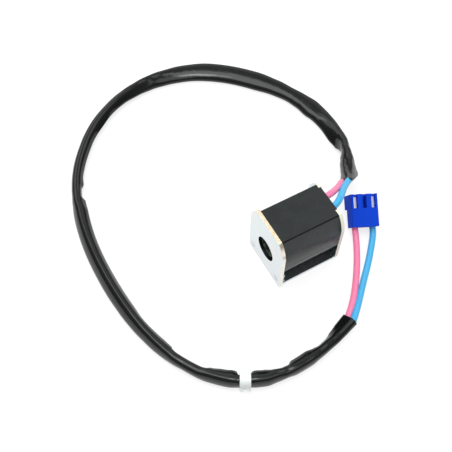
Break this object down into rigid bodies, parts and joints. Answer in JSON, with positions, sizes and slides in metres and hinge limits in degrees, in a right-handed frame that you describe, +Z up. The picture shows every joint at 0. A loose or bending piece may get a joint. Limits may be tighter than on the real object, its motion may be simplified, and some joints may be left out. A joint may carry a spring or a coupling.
{
  "type": "reversing valve coil",
  "caption": "Moulded solenoid coil in a riveted sheet steel yoke with a plain bore, and two leads in a loose sleeve that end in a three-way plug.",
  "frame": {"origin": "middle of the yoke's base: the centre of the coil's footprint on the surface it stands on", "axes": "+X along the bore from the front plate to the rear plate where the leads leave, +Z up"},
  "size_m": [0.1305, 0.1632, 0.0308],
  "materials": {
    "zinc_plated_steel": "zinc plated with a faint iridescent passivation",
    "rivet_steel": "pressed flush, duller than the plates",
    "black_moulding": "satin moulded",
    "bobbin_nylon": "moulded",
    "enamelled_copper": "enamelled copper wire",
    "polyester_tape": "wound film tape",
    "pin_brass": "drawn pin",
    "solder": "bright solder",
    "stranded_copper": "bare copper strands",
    "pink_insulation": "extruded vinyl, soft gloss",
    "blue_insulation": "extruded vinyl, soft gloss",
    "black_sleeve_vinyl": "thin glossy vinyl tube",
    "white_nylon": "moulded nylon",
    "blue_nylon": "moulded nylon",
    "tinned_contact": "bright tin plating"
  },
  "bodies": {
    "root": {"yoke_bracket": "zinc_plated_steel", "front_plate": "zinc_plated_steel", "plate_rivets": "rivet_steel", "encapsulation": "black_moulding", "bobbin": "bobbin_nylon", "winding": "enamelled_copper", "winding_tape": "polyester_tape", "pink_terminal_pin": "pin_brass", "blue_terminal_pin": "pin_brass", "pink_solder_joint": "solder", "blue_solder_joint": "solder", "pink_strands": "stranded_copper", "blue_strands": "stranded_copper", "pink_lead": "pink_insulation", "blue_lead": "blue_insulation", "lead_sleeve": "black_sleeve_vinyl", "cable_tie": "white_nylon", "connector_housing": "blue_nylon", "pink_contact": "tinned_contact", "blue_contact": "tinned_contact"}
  },
  "joints": []
}
